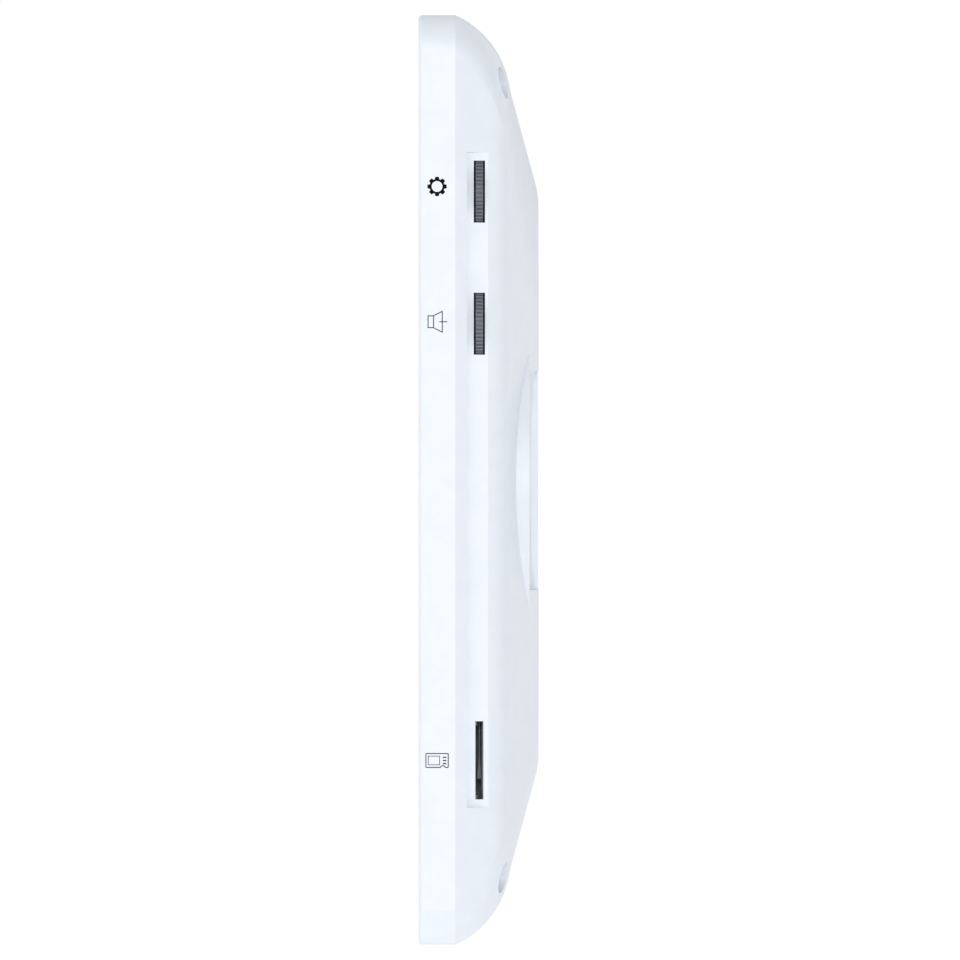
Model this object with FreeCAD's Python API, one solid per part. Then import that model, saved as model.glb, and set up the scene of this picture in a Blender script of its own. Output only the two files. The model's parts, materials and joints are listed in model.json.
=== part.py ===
"""Indoor monitor of a video doorbell set: slim wall-hung screen unit on a hooked steel bracket.

Millimetres. +X is the side with the thumbwheels and the card slot, -Y is the screen side, +Z is up.
The origin is the centre of the wall bracket's screw pattern, on the wall plane.
"""
import FreeCAD, Part
import math
import os

V = FreeCAD.Vector

# ---- driving dimensions: outer form --------------------------------------------------------
WIDTH = 220.0            # left to right
HEIGHT = 150.0           # bottom to top
DEPTH = 19.4             # front face to wall plane
BAND_DEPTH = 5.9         # straight side band of the front frame
CORNER_R = 5.6           # corner radius of the front outline
CORNER_GROWTH = 0.8      # how fast the corner radius grows as the rear cover narrows
EDGE_ROUND = 0.6         # rounding of the front edge
SHOULDER_DEPTH = 14.7    # where the rounded edge ends and the ramp begins
SHOULDER_SLOPE = 83.0    # slope there, degrees from the depth axis
TOP_SLOPE = 23.0         # slope of the top and bottom edges where they leave the band
TOP_KNEE = 5.9           # depth at which their rounding begins
SIDE_SLOPE = 24.0        # slope of the two side edges where they leave the band
SIDE_KNEE = 11.6         # depth at which their rounding begins, after a straight flank
HUMP_INSET_TOP = 28.4    # outline to the flat rear face, at the top and the bottom
HUMP_INSET_SIDE = 24.0   # the same at the two sides
HUMP_ROUND = 12.0        # rounding of the flat rear face's rim
VALLEY_ROUND = 40.0      # hollow blend where the ramp leaves the rounded edge
WALL = 2.0               # rear cover wall
CLEAR = 0.3              # gap between pieces that must not touch

# ---- driving dimensions: side strip, wheels and card slot -----------------------------------
STRIP_FRONT = 7.8        # depth of the strip's front edge
STRIP_REAR = 11.2        # depth of the strip's rear edge, flush with the pillow
STRIP_END_INSET = 22.15  # outline to the strip's two ends
STRIP_WALL = 1.6
CONTROL_DEPTH = 9.8      # depth of the wheels' mid plane and of the card slot
WINDOW_LENGTH = 10.0
WINDOW_WIDTH = 1.8
WHEEL_R = 7.5
WHEEL_THICKNESS = 1.2
WHEEL_RIBS = 72
RIB_DEPTH = 0.36
WHEEL_POST_R = 1.5
WHEEL_RUNNING_CLEAR = 0.05
SETTINGS_INSET = 6.35    # strip's top end to the settings wheel's axis
WHEEL_SPACING = 21.3     # between the two wheels' axes
CARD_INSET = 7.65        # strip's bottom end to the middle of the card slot
CARD_SLOT_LENGTH = 12.6
CARD_SLOT_WIDTH = 1.3
CARD_SOCKET_D = 15.0
CARD_SOCKET_W = 14.4
CARD_TRACK_W = 11.2      # groove that a memory card slides in
CARD_SHEET = 0.25        # metal of the socket's cover
CARD_STOP = 1.0          # wall that a card stops at
CONTROL_BASE_W = 9.0
CONTROL_BASE_H = 10.0
POST_SHOULDER = 0.9      # shoulder and cap, beyond the post's radius
POST_CAP = 0.7
POST_CAP_T = 0.5
WHEEL_DISH_T = 0.3

# ---- driving dimensions: speaker boss and sound channel -------------------------------------
BOSS_R = 30.6
BOSS_EDGE_INSET = 10.6   # outline to the boss's outermost line
BOSS_TOP_GAP = 1.5       # boss top to the wall plane
BOSS_WALL = 1.6
CHANNEL_LENGTH_Z = 35.6
CHANNEL_STRAIGHT = 15.0  # length of the channel's flat-floored mouth
CHANNEL_DISHED = 36.0    # length of the dished part that follows
CHANNEL_END_RISE = 1.15  # how far the dished floor rises at its two ends
SPEAKER_R = 20.0
SPEAKER_HEIGHT = 5.0
GASKET = 0.6
GASKET_W = 2.4
FLANGE_W = 2.2           # speaker basket's flange
FLANGE_T = 0.8
BASKET_WALL = 0.6
BASKET_VENT_R = 1.7
BASKET_VENT_RING = 13.6
BASKET_VENTS = 6
MAGNET_R = 10.5
MAGNET_H = 2.2
CONE_CAP_R = 7.0
CONE_DISH = 1.0
GRILLE_SLOT_W = 1.5
GRILLE_PITCH = 3.6
GRILLE_LENGTH = 24.0     # middle slot
GRILLE_TAPER = 1.6       # each next slot is shorter by this
GRILLE_SIDE_SLOTS = 4    # on each side of the middle slot

# ---- driving dimensions: bracket and hooks --------------------------------------------------
BRACKET_W = 72.0
BRACKET_H = 76.0
BRACKET_T = 1.2
BRACKET_CORNER = 4.0
BRACKET_OPEN_W = 40.0
BRACKET_OPEN_H = 38.0
BRACKET_RIB_L = 22.0
BRACKET_RIB_W = 1.4
BRACKET_RIB_H = 0.8
SCREW_PITCH_X = 32.0
SCREW_PITCH_Z = 60.0
WALL_SCREW_R = 2.1
RECESS_DEPTH = 4.2       # wall plane to the recess floor
RECESS_CLEAR = 1.0       # around the bracket
LIFT = 7.0               # travel that frees the hooks
HOOK_W = 8.0
HOOK_T = 1.2
HOOK_RISE = 5.0
HOOK_GRIP = 0.4          # hook tip to the inside of the recess floor
HOOK_X = 30.0
HOOK_Z = (22.0, -24.0)
HOOK_RELIEF = 4.6        # hole left by a folded tab

# ---- driving dimensions: label and vents ----------------------------------------------------
LABEL_X = -60.0
LABEL_W = 30.0
LABEL_H = 44.0
LABEL_SUNK = 0.3
LABEL_T = 0.15
VENT_LENGTH = 26.0
VENT_W = 1.4
VENT_PITCH = 3.0
VENT_ROWS = 5            # above the label, and as many below it
VENT_GAP = 5.0           # label to the first vent

# ---- driving dimensions: screen, boards, sockets --------------------------------------------
FRAME_WALL = 2.2
RIM = 2.0                # frame rim round the front glass
GLASS_T = 1.4
GLASS_SUNK = 0.2
LEDGE_T = 1.5
LCD_W = 165.0
LCD_H = 100.0
LCD_T = 3.5
LCD_INSET = 13.5         # left outline to the screen module
LCD_SHEET = 0.3          # metal of the screen's folded frame
LCD_VIEW_W = 156.0
LCD_VIEW_H = 88.0
LCD_PANEL_T = 1.0
LCD_RIB_L = 120.0        # ribs that hold the screen module's long edges
LCD_RIB_T = 1.2
LCD_FLEX_W = 36.0
LCD_FLEX_H = 16.0
LCD_FLEX_T = 0.2
PAD_W = 6.0
PAD_H = 60.0
PAD_X = 40.0
KEY_INSET = 18.0         # right outline to the middle of the touch keys
KEY_BOARD_W = 13.4
KEY_BOARD_T = 0.8
KEY_BOARD_INSET_Z = 33.3
KEY_END = 7.7            # end of the key board to its first key
KEY_ROWS = (-2, -1, 0, 1, 2)
KEY_HOLE_R = 1.2
LED_W = 3.2
LED_H = 2.8
LED_T = 0.6
MAIN_W = 110.0
MAIN_H = 114.0
MAIN_X = -5.0
MAIN_T = 1.6
MAIN_GAP = 0.6           # behind the screen module
MAIN_SCREW_INSET_X = 4.0
MAIN_SCREW_INSET_Z = 3.5
MAIN_SCREW_R = 1.05
MAIN_SCREW_HEAD_R = 2.3
MAIN_POST_R = 2.6
SIDE_BOARD_T = 1.0
SIDE_BOARD_W = 25.0
SIDE_BOARD_BEYOND = 0.65  # past each end of the strip
SIDE_SCREW_INSET_X = 3.2
SIDE_SCREW_INSET_Z = 20.5
SIDE_SCREW_R = 0.85
SIDE_SCREW_HEAD_R = 1.9
SIDE_POST_R = 2.4
PILOT_CLEAR = 0.05       # posts' holes, beyond the screws' radius
CHIPS_X = -44.0
PROCESSOR_Z = 14.0
PROCESSOR_W = 16.0
PROCESSOR_T = 1.2
MEMORY_Z = -6.0
MEMORY_W = 9.0
MEMORY_H = 12.0
MEMORY_T = 1.0
MEMORY_PITCH = 15.0
SHIELD_X = 4.0
SHIELD_Z = 42.0
SHIELD_W = 26.0
SHIELD_H = 18.0
SHIELD_T = 1.8
SHIELD_SHEET = 0.3
COIL_X = -18.0
COIL_Z = -42.0
COIL_R = 3.6
COIL_T = 2.6
COIL_BASE_W = 7.6
COIL_BASE_T = 0.8
COIL_PITCH = 11.0
CAPACITOR_X = -30.0
CAPACITOR_Z = 40.0
CAPACITOR_R = 2.6
CAPACITOR_PITCH = 8.5
CAPACITOR_GAP = 0.8      # to the inside of the bracket recess
CELL_X = 26.0
CELL_Z = -40.0
CELL_R = 5.0
CELL_T = 2.0
CELL_FLOOR = 0.5
CELL_SEAT_T = 1.6
RIBBON_W = 18.0
RIBBON_T = 0.3
CONNECTOR_W = 22.0
CONNECTOR_T = 1.6
SOCKET_WINDOW_W = 38.0
SOCKET_WINDOW_H = 16.0
SOCKET_SUNK = 0.4        # socket mouths below the recess floor
SOCKET_D = 5.8
SOCKET_WALL = 0.8
SOCKET_ENDS = 4.9        # housing length beyond its outermost pins
SOCKET_FLOOR = 1.2
SOCKET_KEY_W = 0.9
SOCKET_KEY_L = 3.4
PIN_PITCH = 2.5
PIN_W = 0.64
PIN_SUNK = 1.0           # pin tips below the socket's mouth
SOCKETS = {              # middle of each socket, number of pins
    "door_socket_1": (-11.2, 4),
    "door_socket_2": (1.8, 4),
    "power_socket": (12.4, 2),
}
MIC_INSET_Z = 19.0
MIC_R = 3.0
MIC_LENGTH = 2.6
MIC_FIT = 0.02           # boot's bore, beyond the capsule's radius
MIC_HOLE_R = 0.8
BOOT_R = 4.5
BOOT_LENGTH = 3.8
BOOT_FLOOR = 0.8
BOOT_CLEAR = 0.05
SCREW_INSET_X = 7.8      # case screws, from the side outline
SCREW_INSET_Z = 10.9     # case screws, from the top and bottom outlines
SCREW_HEAD_R = 2.3
SCREW_SHANK_R = 1.45
SCREW_HEAD_H = 1.8
SCREW_BOSS_R = 3.4
SCREW_SEAT = 9.6         # depth of the case screws' seats
SCREW_END_GAP = 0.8      # screw tip to the bottom of its pilot hole
POST_ROOT = 0.5          # how far posts and ribs run into the ledge

# ---- places worked out from them ------------------------------------------------------------
FRONT_Y = -DEPTH
BAND_Y = FRONT_Y + BAND_DEPTH
GLASS_FRONT = FRONT_Y + GLASS_SUNK
GLASS_BACK = GLASS_FRONT + GLASS_T
LEDGE_BACK = GLASS_BACK + LEDGE_T
LCD_BACK = LEDGE_BACK + LCD_T
MAIN_FRONT = LCD_BACK + MAIN_GAP
MAIN_BACK = MAIN_FRONT + MAIN_T
RECESS_FLOOR = -RECESS_DEPTH
RECESS_INNER = RECESS_FLOOR - WALL
BRACKET_FRONT = -BRACKET_T
CONTROL_Y = FRONT_Y + CONTROL_DEPTH
SIDE_BACK = CONTROL_Y - WHEEL_THICKNESS / 2 - 1.0
SIDE_FRONT = SIDE_BACK - SIDE_BOARD_T
BOSS_X = WIDTH / 2 - BOSS_EDGE_INSET - BOSS_R
BOSS_TOP = -BOSS_TOP_GAP
SPEAKER_BACK = BOSS_TOP - BOSS_WALL - GASKET
SPEAKER_FRONT = SPEAKER_BACK - SPEAKER_HEIGHT
STRIP_LENGTH = HEIGHT - 2 * STRIP_END_INSET
SETTINGS_Z = STRIP_LENGTH / 2 - SETTINGS_INSET
VOLUME_Z = SETTINGS_Z - WHEEL_SPACING
CARD_Z = CARD_INSET - STRIP_LENGTH / 2
SIDE_BOARD_H = STRIP_LENGTH + 2 * SIDE_BOARD_BEYOND
LCD_X = LCD_INSET + LCD_W / 2 - WIDTH / 2
KEY_X = WIDTH / 2 - KEY_INSET
KEY_BOARD_H = HEIGHT - 2 * KEY_BOARD_INSET_Z
KEY_PITCH = (KEY_BOARD_H - 2 * KEY_END) / (len(KEY_ROWS) - 1)
MIC_X = KEY_X
MIC_Z = MIC_INSET_Z - HEIGHT / 2
CAPACITOR_H = RECESS_INNER - CAPACITOR_GAP - MAIN_BACK


def edge_inset(depth, slope, knee, offset=0.0):
    """Distance from the outline to a rear edge's surface at a depth: a straight flank, then an arc."""
    start = math.radians(slope)
    end = math.radians(SHOULDER_SLOPE)
    radius = (SHOULDER_DEPTH - knee) / (math.sin(end) - math.sin(start))
    centre_depth = knee - radius * math.sin(start)
    centre_inset = (knee - BAND_DEPTH) * math.tan(start) + radius * math.cos(start)
    inner = radius - offset
    if depth <= centre_depth + inner * math.sin(start):
        return (depth - BAND_DEPTH) * math.tan(start) + offset / math.cos(start)
    return centre_inset - math.sqrt(inner ** 2 - (depth - centre_depth) ** 2)


def side_inset(depth, offset=0.0):
    return edge_inset(depth, SIDE_SLOPE, SIDE_KNEE, offset)


def top_inset(depth, offset=0.0):
    return edge_inset(depth, TOP_SLOPE, TOP_KNEE, offset)


STRIP_X = WIDTH / 2 - side_inset(STRIP_REAR)
WHEEL_X = STRIP_X - math.sqrt((WHEEL_R + CLEAR) ** 2 - (WINDOW_LENGTH / 2) ** 2)
SIDE_REAR_DEPTH = CONTROL_DEPTH + WHEEL_THICKNESS
SIDE_RIGHT = WIDTH / 2 - side_inset(SIDE_REAR_DEPTH, WALL) - CLEAR
SIDE_X = SIDE_RIGHT - SIDE_BOARD_W / 2
SCREW_PLACES = [
    (sx * (WIDTH / 2 - SCREW_INSET_X), sz * (HEIGHT / 2 - SCREW_INSET_Z))
    for sx in (-1, 1) for sz in (-1, 1)
]
HOOK_PLACES = [(sx * HOOK_X, z) for sx in (-1, 1) for z in HOOK_Z]
MAIN_SCREWS = [
    (MAIN_X + sx * (MAIN_W / 2 - MAIN_SCREW_INSET_X), sz * (MAIN_H / 2 - MAIN_SCREW_INSET_Z))
    for sx in (-1, 1) for sz in (-1, 1)
]
SIDE_LEFT = SIDE_RIGHT - SIDE_BOARD_W
SIDE_SCREWS = [
    (SIDE_LEFT + SIDE_SCREW_INSET_X, sz * (SIDE_BOARD_H / 2 - SIDE_SCREW_INSET_Z)) for sz in (-1, 1)
]


# ---- shape helpers ---------------------------------------------------------------------------
def box(x, y, z):
    """Block between the two values of each axis."""
    size = (x[1] - x[0], y[1] - y[0], z[1] - z[0])
    return Part.makeBox(size[0], size[1], size[2], V(x[0], y[0], z[0]))


def block(centre_x, centre_z, w, h, y0, y1):
    """Block centred on a place of the face, between two depths."""
    return box((centre_x - w / 2, centre_x + w / 2), (y0, y1), (centre_z - h / 2, centre_z + h / 2))


def rod(x, z, radius, y0, y1):
    """Cylinder along Y."""
    return Part.makeCylinder(radius, y1 - y0, V(x, y0, z), V(0, 1, 0))


def tube(x, z, outer, inner, y0, y1):
    return rod(x, z, outer, y0, y1).cut(rod(x, z, inner, y0 - 1, y1 + 1))


def outline(half_w, half_h, radius, y, cx=0.0, cz=0.0):
    """Rounded rectangle wire in the plane at y."""
    edges = []
    corners = ((1, 1), (-1, 1), (-1, -1), (1, -1))
    arcs = []
    for index, (sx, sz) in enumerate(corners):
        centre = V(cx + sx * (half_w - radius), y, cz + sz * (half_h - radius))
        angles = [math.radians(90 * index + step) for step in (0, 45, 90)]
        points = [centre + V(radius * math.cos(a), 0, radius * math.sin(a)) for a in angles]
        arcs.append(points)
    for index, points in enumerate(arcs):
        following = arcs[(index + 1) % 4]
        edges.append(Part.Arc(points[0], points[1], points[2]).toShape())
        edges.append(Part.makeLine(points[2], following[0]))
    return Part.Wire(edges)


def plate(cx, cz, w, h, radius, y0, y1):
    """Rounded rectangular plate between two depths."""
    face = Part.Face(outline(w / 2, h / 2, radius, y0, cx, cz))
    return face.extrude(V(0, y1 - y0, 0))


def slot_plate(cx, cz, w, h, y0, y1):
    """Plate with fully rounded short ends."""
    return plate(cx, cz, w, h, min(w, h) / 2 - 0.01, y0, y1)


def joined(shapes):
    whole = shapes[0]
    if len(shapes) > 1:
        whole = whole.fuse(shapes[1:])
    return whole.removeSplitter()


def screw(x, z, seat_y, length, head_r, shank_r, head_h):
    """Pan-head screw with a cross recess; its head is at the rear and its shank points forward."""
    top_y = seat_y + head_h
    shank = rod(x, z, shank_r, seat_y - length, seat_y)
    head = rod(x, z, head_r, seat_y, top_y)
    rim = [e for e in head.Edges if abs(e.CenterOfMass.y - top_y) < 1e-6]
    head = head.makeFillet(head_h * 0.4, rim)
    recess_y = top_y - head_h * 0.6
    cross = [
        block(x, z, head_r * 1.1, head_r * 0.28, recess_y, top_y),
        block(x, z, head_r * 0.28, head_r * 1.1, recess_y, top_y),
    ]
    return joined([shank, head]).cut(joined(cross))


# ---- the outer form --------------------------------------------------------------------------
def section(depth, inset_x, inset_z, offset):
    half_w = WIDTH / 2 - inset_x
    half_h = HEIGHT / 2 - inset_z
    radius = CORNER_R + CORNER_GROWTH * (inset_x + inset_z) / 2 - offset
    return outline(half_w, half_h, max(radius, 1.0), FRONT_Y + depth)


def ramp_top(shoulder_inset, hump_inset, offset):
    """Inset of the ramp's rear end, moved inwards with the surface."""
    slope = math.atan2(DEPTH - SHOULDER_DEPTH, hump_inset - shoulder_inset)
    return hump_inset + offset * math.tan(slope / 2)


def rear_form(offset):
    """Rounded edges and ramps of the rear cover; offset moves the whole surface inwards."""
    start = BAND_DEPTH - offset * math.sin(math.radians(min(TOP_SLOPE, SIDE_SLOPE)))
    end = SHOULDER_DEPTH - offset * math.sin(math.radians(SHOULDER_SLOPE))
    stations = 10
    wires = []
    for step in range(stations + 1):
        share = math.sin(math.radians(90.0 * step / stations))
        depth = start + (end - start) * share
        wires.append(section(depth, side_inset(depth, offset), top_inset(depth, offset), offset))
    top_x = ramp_top(side_inset(SHOULDER_DEPTH), HUMP_INSET_SIDE, offset)
    top_z = ramp_top(top_inset(SHOULDER_DEPTH), HUMP_INSET_TOP, offset)
    rear = section(DEPTH - offset, top_x, top_z, offset)
    rounded = Part.makeLoft(wires, True, False)
    ramp = Part.makeLoft([wires[-1], rear], True, True)
    return rounded.fuse(ramp)


def loop_edges(form, depth):
    """The edges of a form that lie in the plane at one depth."""
    y = FRONT_Y + depth
    found = []
    for edge in form.Edges:
        ends = [vertex.Point.y for vertex in edge.Vertexes]
        middle = edge.valueAt((edge.FirstParameter + edge.LastParameter) / 2).y
        if max(abs(value - y) for value in ends + [middle]) < 1e-4:
            found.append(edge)
    return found


def round_rear(form):
    """Round the flat rear face's rim and blend the valley at the shoulder."""
    form = form.makeFillet(HUMP_ROUND, loop_edges(form, DEPTH))
    return form.makeFillet(VALLEY_ROUND, loop_edges(form, SHOULDER_DEPTH))


def sound_channel():
    """Shallow trough over the speaker, open at the side, with a floor that dishes inwards."""
    start = BOSS_X + BOSS_R + 1.0
    knee = start - CHANNEL_STRAIGHT
    end = knee - CHANNEL_DISHED
    half = CHANNEL_LENGTH_Z / 2
    above = 1.0
    mouth = box((knee, start), (BOSS_TOP, above), (-half, half))

    def profile(x, floor_y, end_y):
        bow = Part.Ellipse(V(x, end_y, -half), V(x, floor_y, 0), V(x, end_y, 0))
        bottom = Part.ArcOfEllipse(bow, 0, math.pi).toShape()
        sides = [
            Part.makeLine(V(x, end_y, half), V(x, above, half)),
            Part.makeLine(V(x, above, half), V(x, above, -half)),
            Part.makeLine(V(x, above, -half), V(x, end_y, -half)),
        ]
        return Part.Wire([bottom] + sides)

    flat = profile(knee, BOSS_TOP - 0.001, BOSS_TOP)
    dished = profile(end, BOSS_TOP + 0.2, BOSS_TOP + CHANNEL_END_RISE)
    return mouth.fuse(Part.makeLoft([flat, dished], True, True))


# ---- housing ---------------------------------------------------------------------------------
def front_frame():
    body = plate(0, 0, WIDTH, HEIGHT, CORNER_R, FRONT_Y, BAND_Y)
    front_edges = [e for e in body.Edges if abs(e.BoundBox.YMax - FRONT_Y) < 1e-6]
    body = body.makeFillet(EDGE_ROUND, front_edges)
    inner_w = WIDTH - 2 * FRAME_WALL
    inner_h = HEIGHT - 2 * FRAME_WALL
    body = body.cut(plate(0, 0, inner_w, inner_h, CORNER_R - FRAME_WALL, LEDGE_BACK, BAND_Y + 1))
    pocket = plate(0, 0, WIDTH - 2 * RIM, HEIGHT - 2 * RIM, CORNER_R - RIM, FRONT_Y - 1, GLASS_BACK)
    body = body.cut(pocket)
    view = plate(LCD_X, 0, LCD_VIEW_W, LCD_VIEW_H, 1.0, GLASS_BACK - 1, LEDGE_BACK + 1)
    keys = plate(KEY_X, 0, KEY_BOARD_W + 2 * CLEAR, KEY_BOARD_H + 2 * CLEAR, 1.0,
                 GLASS_BACK - 1, LEDGE_BACK + 1)
    mic = rod(MIC_X, MIC_Z, BOOT_R + BOOT_CLEAR, GLASS_BACK - 1, LEDGE_BACK + 1)
    body = body.cut([view, keys, mic])
    root = LEDGE_BACK - POST_ROOT
    posts = [rod(x, z, SCREW_BOSS_R, root, BAND_Y + 0.1) for x, z in SCREW_PLACES]
    posts += [rod(x, z, MAIN_POST_R, root, MAIN_FRONT) for x, z in MAIN_SCREWS]
    posts += [rod(x, z, SIDE_POST_R, root, SIDE_FRONT) for x, z in SIDE_SCREWS]
    for sz in (-1, 1):
        rib_z = sz * (LCD_H / 2 + CLEAR + LCD_RIB_T / 2)
        posts.append(block(LCD_X, rib_z, LCD_RIB_L, LCD_RIB_T, root, LCD_BACK - 1.0))
    body = joined([body] + posts)
    main_pilot = MAIN_SCREW_R + PILOT_CLEAR
    side_pilot = SIDE_SCREW_R + PILOT_CLEAR
    bottom = LEDGE_BACK + 0.4
    pilots = [rod(x, z, SCREW_SHANK_R + PILOT_CLEAR, LEDGE_BACK, BAND_Y + 1) for x, z in SCREW_PLACES]
    pilots += [rod(x, z, main_pilot, bottom, MAIN_FRONT + 1) for x, z in MAIN_SCREWS]
    pilots += [rod(x, z, side_pilot, bottom, SIDE_FRONT + 1) for x, z in SIDE_SCREWS]
    return body.cut(pilots)


def front_window():
    glass = plate(0, 0, WIDTH - 2 * RIM - 0.2, HEIGHT - 2 * RIM - 0.2, CORNER_R - RIM - 0.1,
                  GLASS_FRONT, GLASS_BACK)
    edges = [e for e in glass.Edges if abs(e.BoundBox.YMax - GLASS_FRONT) < 1e-6]
    glass = glass.makeFillet(0.25, edges)
    return glass.cut(rod(MIC_X, MIC_Z, MIC_HOLE_R, GLASS_FRONT - 1, GLASS_BACK + 1))


def recess_span(grow):
    """X and Z spans of the bracket recess, grown by a wall where asked."""
    half = BRACKET_W / 2 + RECESS_CLEAR + grow
    low = -BRACKET_H / 2 - LIFT - RECESS_CLEAR - grow
    high = BRACKET_H / 2 + RECESS_CLEAR + grow
    return (-half, half), (low, high)


def hook_slot(x, z):
    """Opening in the recess floor that a hook passes and then rises behind."""
    low = z - LIFT - CLEAR
    high = z + HOOK_T + CLEAR
    half = HOOK_W / 2 + 0.5
    return box((x - half, x + half), (RECESS_INNER - 1, RECESS_FLOOR + 1), (low, high))


def rear_cover():
    outer = round_rear(rear_form(0.0))
    outer = outer.fuse(rod(BOSS_X, 0, BOSS_R, BAND_Y + 2, BOSS_TOP))
    cavity = rear_form(WALL)
    cavity = cavity.fuse(rod(BOSS_X, 0, BOSS_R - WALL, BAND_Y + 2, BOSS_TOP - BOSS_WALL))
    strip_half = STRIP_LENGTH / 2
    guard_y = (FRONT_Y + STRIP_FRONT - WALL, FRONT_Y + STRIP_REAR + WALL)
    guard_z = (-strip_half - WALL, strip_half + WALL)
    cavity = cavity.cut(box((STRIP_X - STRIP_WALL, WIDTH), guard_y, guard_z))
    rx, rz = recess_span(WALL)
    cavity = cavity.cut(box(rx, (RECESS_INNER, 1), rz))
    channel_x = BOSS_X + BOSS_R + 1.0 - CHANNEL_STRAIGHT - CHANNEL_DISHED
    channel_half = CHANNEL_LENGTH_Z / 2 + WALL
    floor_inner = BOSS_TOP - BOSS_WALL
    cavity = cavity.cut(box((channel_x - WALL, WIDTH), (floor_inner, 1), (-channel_half, channel_half)))
    for x, z in SCREW_PLACES:
        cavity = cavity.cut(rod(x, z, SCREW_BOSS_R, BAND_Y + 0.1, 0))
    cover = outer.cut(cavity)
    cover = cover.cut(box((-WIDTH, WIDTH), (FRONT_Y - 1, BAND_Y), (-HEIGHT, HEIGHT)))
    cuts = [box((STRIP_X, WIDTH), (FRONT_Y + STRIP_FRONT, FRONT_Y + STRIP_REAR),
                (-strip_half, strip_half))]
    for z in (SETTINGS_Z, VOLUME_Z):
        cuts.append(rod(WHEEL_X, z, WHEEL_R + CLEAR, CONTROL_Y - WINDOW_WIDTH / 2,
                        CONTROL_Y + WINDOW_WIDTH / 2))
    cuts.append(block(STRIP_X, CARD_Z, 8.0, CARD_SLOT_LENGTH, CONTROL_Y - CARD_SLOT_WIDTH / 2,
                      CONTROL_Y + CARD_SLOT_WIDTH / 2))
    for x, z in SCREW_PLACES:
        cuts.append(rod(x, z, SCREW_HEAD_R + CLEAR, FRONT_Y + SCREW_SEAT, 1))
        cuts.append(rod(x, z, SCREW_SHANK_R + 0.2, BAND_Y - 1, 1))
    rx, rz = recess_span(0.0)
    recess = plate((rx[0] + rx[1]) / 2, (rz[0] + rz[1]) / 2, rx[1] - rx[0], rz[1] - rz[0],
                   BRACKET_CORNER, RECESS_FLOOR, 1)
    cuts.append(recess)
    cuts.append(plate(0, 0, SOCKET_WINDOW_W, SOCKET_WINDOW_H, 1.0, RECESS_INNER - 1, RECESS_FLOOR + 1))
    cuts += [hook_slot(x, z) for x, z in HOOK_PLACES]
    cuts.append(sound_channel())
    for index in range(-GRILLE_SIDE_SLOTS, GRILLE_SIDE_SLOTS + 1):
        length = GRILLE_LENGTH - GRILLE_TAPER * abs(index)
        x = BOSS_X + GRILLE_PITCH * index
        cuts.append(slot_plate(x, 0, GRILLE_SLOT_W, length, BOSS_TOP - BOSS_WALL - 1, 1))
    cuts.append(plate(LABEL_X, 0, LABEL_W + 1, LABEL_H + 1, 1.5, -LABEL_SUNK, 1))
    for sz in (-1, 1):
        for index in range(VENT_ROWS):
            z = sz * (LABEL_H / 2 + VENT_GAP + VENT_PITCH * index)
            cuts.append(slot_plate(LABEL_X, z, VENT_LENGTH, VENT_W, -WALL - 1, 1))
    return cover.cut(cuts)


def rear_label():
    return plate(LABEL_X, 0, LABEL_W, LABEL_H, 1.0, -LABEL_SUNK, -LABEL_SUNK + LABEL_T)


def case_screws():
    length = SCREW_SEAT - (LEDGE_BACK - FRONT_Y) - SCREW_END_GAP
    return [screw(x, z, FRONT_Y + SCREW_SEAT, length, SCREW_HEAD_R, SCREW_SHANK_R, SCREW_HEAD_H)
            for x, z in SCREW_PLACES]


# ---- bracket ---------------------------------------------------------------------------------
def hook(x, z):
    """Tab folded forward out of the plate, then up behind the recess floor."""
    tip_back = RECESS_INNER - HOOK_GRIP
    tip_front = tip_back - HOOK_T
    half = HOOK_W / 2
    neck = box((x - half, x + half), (tip_front, BRACKET_FRONT + 0.1), (z, z + HOOK_T))
    tip = box((x - half, x + half), (tip_front, tip_back), (z, z + HOOK_RISE))
    return [neck, tip]


def wall_bracket():
    body = plate(0, 0, BRACKET_W, BRACKET_H, BRACKET_CORNER, BRACKET_FRONT, 0)
    opening = plate(0, 0, BRACKET_OPEN_W, BRACKET_OPEN_H, 3.0, BRACKET_FRONT - 1, 1)
    holes = [
        rod(sx * SCREW_PITCH_X / 2, sz * SCREW_PITCH_Z / 2, WALL_SCREW_R, BRACKET_FRONT - 1, 1)
        for sx in (-1, 1) for sz in (-1, 1)
    ]
    body = body.cut([opening] + holes)
    tabs = []
    reliefs = []
    for x, z in HOOK_PLACES:
        tabs += hook(x, z)
        relief_z = z + HOOK_T + CLEAR + HOOK_RELIEF / 2
        reliefs.append(block(x, relief_z, HOOK_W, HOOK_RELIEF, BRACKET_FRONT - 0.5, 0.5))
    body = body.cut(reliefs)
    for sz in (-1, 1):
        rib_z = sz * (BRACKET_OPEN_H / 2 + 4.5)
        tabs.append(block(0, rib_z, BRACKET_RIB_L, BRACKET_RIB_W,
                          BRACKET_FRONT - BRACKET_RIB_H, BRACKET_FRONT + 0.1))
    return joined([body] + tabs)


# ---- screen ----------------------------------------------------------------------------------
def lcd_panel():
    front = LEDGE_BACK + LCD_SHEET
    return block(LCD_X, 0, LCD_W - 3.0, LCD_H - 3.0, front, front + LCD_PANEL_T)


def lcd_bezel():
    """Folded steel frame that holds the screen module together."""
    outer = block(LCD_X, 0, LCD_W, LCD_H, LEDGE_BACK, LCD_BACK)
    inside = block(LCD_X, 0, LCD_W - 2 * LCD_SHEET, LCD_H - 2 * LCD_SHEET,
                   LEDGE_BACK + LCD_SHEET, LCD_BACK + 1)
    view = block(LCD_X, 0, LCD_VIEW_W + 1, LCD_VIEW_H + 1, LEDGE_BACK - 1, LEDGE_BACK + 1)
    return outer.cut([inside, view])


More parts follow.
